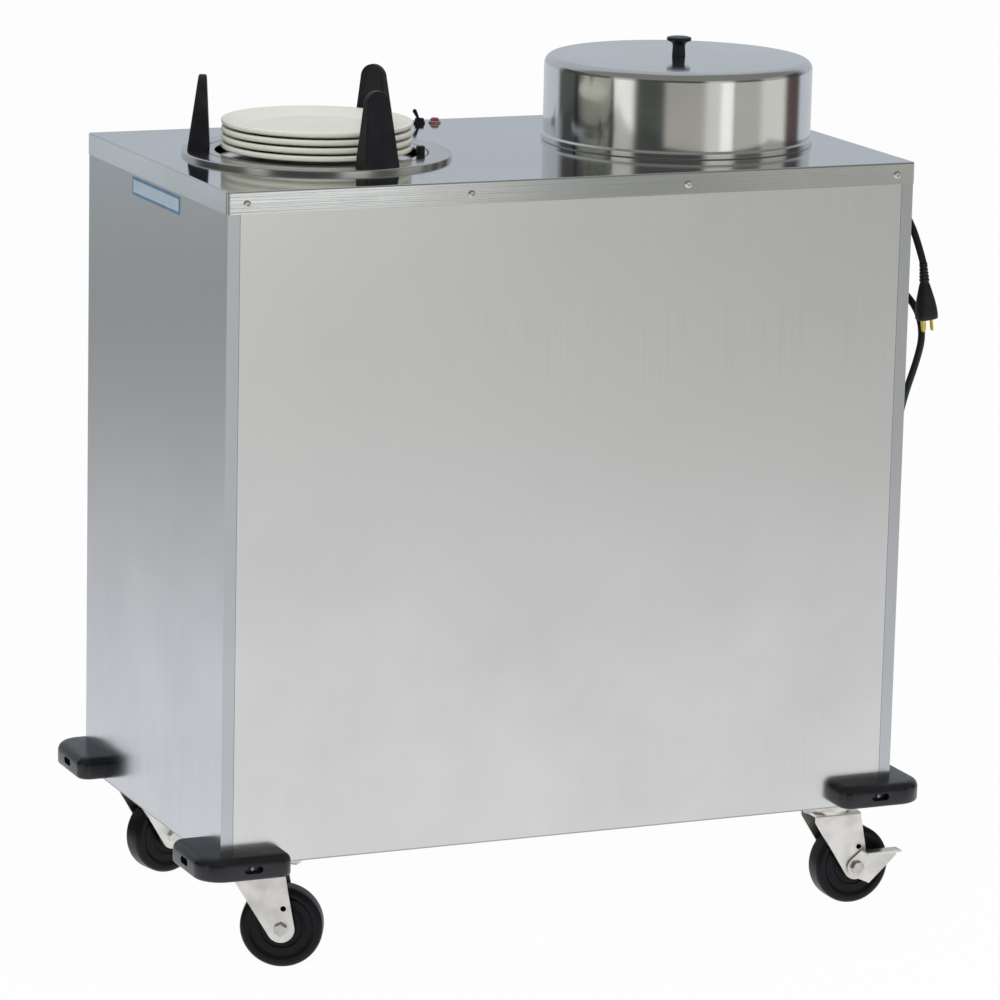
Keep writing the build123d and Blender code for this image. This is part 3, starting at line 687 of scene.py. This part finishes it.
def add_cover():
    """The spun cap, with a rolled lower edge and a soft shoulder, and its moulded knob."""
    low, high = box("cover")
    tall = high.z - low.z
    outline = rounded(
        (167.8, 0), (171.5, 0, 1.4), (171.5, 7, 2.4), (169, 9.5, 1.2), (169, tall, 12), (0, tall),
        (0, tall - 1.2), (167.8, tall - 1.2, 11), steps=12,
    )
    where = at((silos["right"].x, silos["right"].y, low.z))
    cap = Piece().add(turned(outline, 192, closed=True), where)
    cap.done("cover_cap", "cover_metal", "cover", "stainless", "cover", crease=50)
    low, high = box("cover_knob")
    knob_high = high.z - (deck_high.z + tall)
    outline = rounded(
        (0, -5.2), (6, -5.2, 0.5), (6, -1.25), (3, -1.25), (3, 0), (8.6, 0, 0.6),
        (7.6, knob_high - 8, 6), (15.5, knob_high - 4.6, 1.3), (15.5, knob_high - 1, 0.9),
        (12, knob_high, 2), (0, knob_high - 0.6),
    )
    where = at((silos["right"].x, silos["right"].y, deck_high.z + tall))
    knob = Piece().add(turned(outline, 64), where)
    knob.done("knob", "black_plastic", "cover", "black_plastic", "cover_knob")


# Controls and the strip on the left end

def add_pilot_light():
    """A red lens in a plated bezel."""
    middle = centre("pilot_light")
    where = at((middle.x, middle.y, deck_high.z))
    rim = rounded((5.9, 0), (8, 0), (8, 2, 0.6), (6.3, 3.2, 0.5), (5.9, 2.6))
    bezel = Piece().add(turned(rim, 40, closed=True), where)
    bezel.done("pilot_bezel", "bolt_zinc", "cabinet", "stainless")
    dome = rounded((0, 0.4), (5.8, 0.4), (5.8, 4.2, 1.5), (4.4, 6.6, 1.5), (0, 7))
    cap = Piece().add(turned(dome, 40), where)
    cap.done("pilot_lens", "red_lens", "cabinet", "pilot_red", "pilot_light")


def add_end_strip():
    """A bare pale strip with a blue border, stuck to the left end under the deck's edge."""
    face, half_long, low, high, border = cabinet_low.x, 84.0, 907.0, 929.5, 3.6
    edge = Piece().add(slab((face - 0.35, -half_long, low), (face, half_long, high)))
    edge.done("end_strip_border", "blue_foil", "cabinet", "panel_sheet")
    inner_low = (face - 0.5, border - half_long, low + border)
    inner_high = (face - 0.3, half_long - border, high - border)
    Piece().add(slab(inner_low, inner_high)).done("end_strip", "pale_foil", "cabinet", "panel_sheet")


# Cord: the lead from the strain relief, its coil on the hook, and the tail down to the plug

cord_radius = 4.5
gland_tip = cabinet_high.x + 35.5
lead_route = (
    (gland_tip, 89, 546), (512, 89, 546), (537, 78, 546), (553, 55, 547), (559, 27, 551), (553, -9, 558),
    (540, -53, 569), (521, -98, 587), (505, -137, 614), (498, -166, 654), (503, -181, 694),
    (509, -184, 727), (506, -176, 756), (497, -160, 776), (487, -138, 788),
)
plug_end, plug_entry = Vector((501.5, -206, 753)), Vector((493.5, -206, 824.5))
tail_route = ((471, -152, 899), (475, -173, 893), (480, -190, 877), (486, -201, 854), tuple(plug_entry))


def coil_route():
    """The turns on the hook. They lie at six places in two layers, and cross from one to the next."""
    centre_y, centre_z = -122.0, 845.0
    columns, layers = (478.8, 469.7, 460.6), (55.5, 46.4)
    places = (
        (columns[0], layers[0]), (columns[0], layers[1]), (columns[1], layers[1]),
        (columns[2], layers[1]), (columns[2], layers[0]), (columns[1], layers[0]),
    )
    turns, per_turn, start = 4.46, 18, radians(-83)
    turns_per_place, moving_share = 0.76, 0.24
    points = []
    for step in range(round(turns * per_turn) + 1):
        turn = step / per_turn
        index, part = divmod(turn / turns_per_place, 1)
        here = places[min(int(index), len(places) - 1)]
        there = places[min(int(index) + 1, len(places) - 1)]
        moved = max(0.0, (part - 1 + moving_share) / moving_share)
        moved = moved * moved * (3 - 2 * moved)
        column = here[0] + (there[0] - here[0]) * moved
        radius = here[1] + (there[1] - here[1]) * moved
        angle = start + tau * turn
        points.append((column, centre_y + radius * cos(angle), centre_z + radius * sin(angle)))
    return points


def add_cord():
    """The cord along the whole route, with its plug, blades and strain relief."""
    route = [*lead_route, *coil_route(), *tail_route]
    data = bpy.data.curves.new("cord", "CURVE")
    data.dimensions = "3D"
    data.bevel_depth = MM * cord_radius
    data.bevel_resolution = 5
    data.use_fill_caps = True
    spline = data.splines.new("NURBS")
    spline.points.add(len(route) - 1)
    for point, place in zip(spline.points, route):
        point.co = (*(MM * part for part in place), 1)
    spline.order_u = 3
    spline.use_endpoint_u = True
    spline.resolution_u = 6
    data.materials.append(finishes["cord_jacket"])
    cord = bpy.data.objects.new("cord", data)
    scene.collection.objects.link(cord)
    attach(cord, "cabinet")
    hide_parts("cord_lead", "cord_coil", "cord_tail")
    add_plug()
    add_blades()
    add_gland()


def plug_place():
    """The placing of the hanging plug: its own Z runs from the blades' end to the cord."""
    return at(plug_end, plug_entry - plug_end)


def add_plug():
    """A moulded plug, wide and flat at the blades, with grooved strain relief where the cord enters."""
    tall = (plug_entry - plug_end).length
    sections = [(5.0, 5.0, tall, 2)]
    grooves, pitch = 5, 4.4
    for k in range(grooves):
        top = tall - 3 - pitch * k
        thick = 5.2 + 0.3 * k
        thin = thick - 0.9
        sections += [(thick, thick, top, 2), (thick, thick, top - 2.4, 2)]
        sections += [(thin, thin, top - 2.9, 2), (thin, thin, top - 3.9, 2)]
    sections += [
        (6.8, 6.8, tall - 28, 2.1), (8.8, 8.2, tall - 36, 2.3), (11.2, 10, tall - 46, 2.5),
        (13.0, 11.4, tall - 56, 2.7), (13.8, 12, 7, 2.8), (13.8, 12, 1.4, 2.8),
        (13.2, 11.4, 0.4, 2.8), (12.4, 10.6, 0, 2.8),
    ]
    plug = Piece().add(lofted(sections), plug_place())
    return plug.done("plug_body", "cord_jacket", "cabinet", "cord_jacket", "plug")


def add_blades():
    """Two flat blades and a round earth pin, standing out of the plug's face."""
    apart, reach, pin_aside = 12.7, -16.0, 8.0
    blades = Piece()
    for side in (-1, 1):
        across = side * apart / 2
        blades.add(slab((across - 0.75, -3.2, reach + 1.2), (across + 0.75, 3.2, 1.0)), plug_place())
        blades.add(slab((across - 0.45, -2.5, reach), (across + 0.45, 2.5, reach + 1.2)), plug_place())
    pin = rounded((0, -17), (2.4, -17, 2), (2.4, 1), (0, 1))
    blades.add(turned(pin, 24), plug_place() @ Matrix.Translation((0, pin_aside, 0)))
    return blades.done("blades", "brass", "cabinet", "brass", "plug_blades")


def add_gland():
    """The tapered strain relief on the right end, with grooves round it."""
    middle = centre("cord_gland")
    tip = gland_tip - cabinet_high.x
    outline = [(0, 0), (12, 0, 0.5), (12, 4, 1), (9.2, 5)]
    grooves = 6
    for k in range(grooves):
        start = 7 + k * (tip - 9) / grooves
        thick = 8.8 - 3.0 * k / grooves
        outline += [(thick, start), (thick - 0.2, start + 2.6)]
        outline += [(thick - 1.1, start + 2.9), (thick - 1.2, start + 4.2)]
    outline += [(5.3, tip - 1), (5.3, tip), (0, tip)]
    where = at((cabinet_high.x, middle.y, middle.z), (1, 0, 0))
    gland = Piece().add(turned(rounded(*outline), 40), where)
    return gland.done("gland_sleeve", "black_plastic", "cabinet", "black_plastic", "cord_gland")


# Studio

backdrop_white = 0.97


def add_floor():
    """A wide pale floor. It glows to the camera, and still takes the shadow."""
    half = 40.0
    places = [(-half, -half, 0), (half, -half, 0), (half, half, 0), (-half, half, 0)]
    mesh = bpy.data.meshes.new("floor")
    mesh.from_pydata(places, [], [(0, 1, 2, 3)])
    floor = bpy.data.objects.new("floor", mesh)
    scene.collection.objects.link(floor)
    paint = Shader("floor", (0.82, 0.82, 0.81), 0.8, Specular_IOR_Level=0.1)
    paint.bump(paint.noise(paint.place(), scale=40.0, detail=3.0), 0.02, 0.001)
    path = paint.node("ShaderNodeLightPath")
    share = paint.product(path.outputs["Is Camera Ray"], backdrop_white)
    glow = paint.node("ShaderNodeEmission", {"Color": (1, 1, 1, 1), "Strength": 1.0})
    both = paint.node("ShaderNodeMixShader", {0: share, 1: paint.surface.outputs[0], 2: glow.outputs[0]})
    paint.tree.links.new(both.outputs[0], paint.tree.nodes["Material Output"].inputs["Surface"])
    mesh.materials.append(paint.material)
    floor.visible_glossy = False


# What the studio holds round the cart, seen only in the metal. Each is from and to in degrees, with 0
# in front, and a colour
surroundings = (
    (-180, -150, (0.60, 0.65, 0.69)),
    (-146, -116, (0.09, 0.10, 0.09)),
    (-111, -85, (0.42, 0.43, 0.35)),
    (-80, -65, (1.15, 1.15, 1.12)),
    (-60, -38, (0.06, 0.07, 0.06)),
    (-34, -4, (0.46, 0.45, 0.41)),
    (1, 11, (0.74, 0.75, 0.73)),
    (13.5, 23.2, (1.25, 1.26, 1.24)),
    (24.2, 25.4, (0.28, 0.29, 0.27)),
    (26.2, 48, (0.54, 0.54, 0.50)),
    (54, 77, (0.82, 0.81, 0.78)),
    (84, 100, (0.10, 0.07, 0.07)),
    (106, 180, (0.62, 0.66, 0.72)),
)
# The same above the cart: the lit screens reach up, dark stands between them, and behind it is pale
upper_surroundings = (
    (-180, -150, (0.50, 0.54, 0.58)),
    (-140, -116, (0.07, 0.07, 0.07)),
    (-110, -86, (0.12, 0.13, 0.10)),
    (-80, -65, (0.62, 0.62, 0.60)),
    (-60, -4, (0.08, 0.08, 0.08)),
    (2, 22, (0.66, 0.66, 0.64)),
    (26, 50, (0.14, 0.14, 0.13)),
    (54, 77, (0.46, 0.46, 0.44)),
    (84, 100, (0.07, 0.07, 0.07)),
    (116, 180, (0.51, 0.55, 0.60)),
)
# The same high up
ceiling = (
    (-180, -140, (0.50, 0.54, 0.58)),
    (-120, 105, (0.24, 0.25, 0.23)),
    (125, 180, (0.51, 0.55, 0.60)),
)


def add_bands(tree, way, bands):
    """A colour that changes with the direction round the cart."""
    ramp = add_node(tree, "ShaderNodeValToRGB", {"Fac": way})
    stops = ramp.color_ramp.elements
    (_, first), *between, (_, last) = [
        ((edge + 180) / 360, (*color, 1)) for *edges, color in bands for edge in edges
    ]
    for place, color in between:
        stops.new(place).color = color
    stops[0].color, stops[-1].color = first, last
    return ramp.outputs["Color"]


def add_mirrored_studio(tree):
    """The studio as the metal mirrors it: screens round the cart, a bright floor and a pale ceiling."""
    way = add_node(tree, "ShaderNodeTexCoord").outputs["Generated"]
    apart = add_node(tree, "ShaderNodeSeparateXYZ", {"Vector": way})
    behind = add_node(tree, "ShaderNodeMath", {0: apart.outputs["Y"], 1: -1.0}, operation="MULTIPLY")
    angle = add_node(
        tree, "ShaderNodeMath", {0: apart.outputs["X"], 1: behind.outputs[0]}, operation="ARCTAN2",
    )
    whole = {"Value": angle.outputs[0], "From Min": -tau / 2, "From Max": tau / 2}
    turn = add_node(tree, "ShaderNodeMapRange", whole).outputs["Result"]
    color = add_bands(tree, turn, surroundings)
    # Where each layer starts and is full, as the height of the direction, and what it shows
    layers = (
        (-0.158, -0.166, (0.27, 0.27, 0.25, 1)),
        (-0.168, -0.26, (1.09, 1.10, 1.15, 1)),
        (-0.09, 0.01, add_bands(tree, turn, upper_surroundings)),
        (0.25, 0.40, add_bands(tree, turn, ceiling)),
    )
    for start, full, shade in layers:
        height = {"Value": apart.outputs["Z"], "From Min": start, "From Max": full}
        share = add_node(tree, "ShaderNodeMapRange", height, interpolation_type="SMOOTHSTEP")
        inputs = {0: share.outputs["Result"], 6: color, 7: shade}
        color = add_node(tree, "ShaderNodeMix", inputs, data_type="RGBA").outputs[2]
    return color


def add_world():
    """Even light from all round, a white backdrop for the camera, and the studio in the metal."""
    world = bpy.data.worlds.new("studio")
    scene.world = world
    world.use_nodes = True
    tree = world.node_tree
    light = tree.nodes["Background"]
    light.inputs["Color"].default_value = (0.96, 0.98, 1.0, 1)
    light.inputs["Strength"].default_value = 0.45
    studio = add_mirrored_studio(tree)
    mirrored = add_node(tree, "ShaderNodeBackground", {"Color": studio, "Strength": 1.0})
    backdrop = add_node(tree, "ShaderNodeBackground", {"Color": (1, 1, 1, 1), "Strength": backdrop_white})
    path = add_node(tree, "ShaderNodeLightPath")
    shown = light
    for ray, kind in (("Is Glossy Ray", mirrored), ("Is Camera Ray", backdrop)):
        inputs = {0: path.outputs[ray], 1: shown.outputs[0], 2: kind.outputs[0]}
        shown = add_node(tree, "ShaderNodeMixShader", inputs)
    tree.links.new(shown.outputs[0], tree.nodes["World Output"].inputs["Surface"])


def add_lamp(name, place, aim, size, power):
    """A white rectangular lamp, which the metal doesn't mirror."""
    data = bpy.data.lights.new(name, "AREA")
    data.shape = "RECTANGLE"
    data.size, data.size_y = size
    data.energy = power
    lamp = bpy.data.objects.new(name, data)
    lamp.location = place
    lamp.rotation_euler = (Vector(aim) - Vector(place)).to_track_quat("-Z", "Y").to_euler()
    lamp.visible_glossy = False
    scene.collection.objects.link(lamp)


def add_lamps():
    middle = (0, 0, 0.5)
    add_lamp("key", (-2.6, -3.2, 3.6), middle, (2.4, 2.4), 120)
    add_lamp("fill", (3.4, -2.4, 2.2), middle, (2.0, 2.4), 50)
    add_lamp("top", (0.2, 0.6, 3.8), middle, (2.6, 1.8), 18)


add_camera()
add_cord()
finish_all_cad()
add_wheels()
add_axles()
add_caster_bolts()
add_deck_screws()
add_bumpers()
add_bumper_screws()
add_silo_rings()
add_springs()
add_plates()
add_cover()
add_pilot_light()
add_end_strip()
add_floor()
add_world()
add_lamps()
scene.view_settings.view_transform = "Standard"
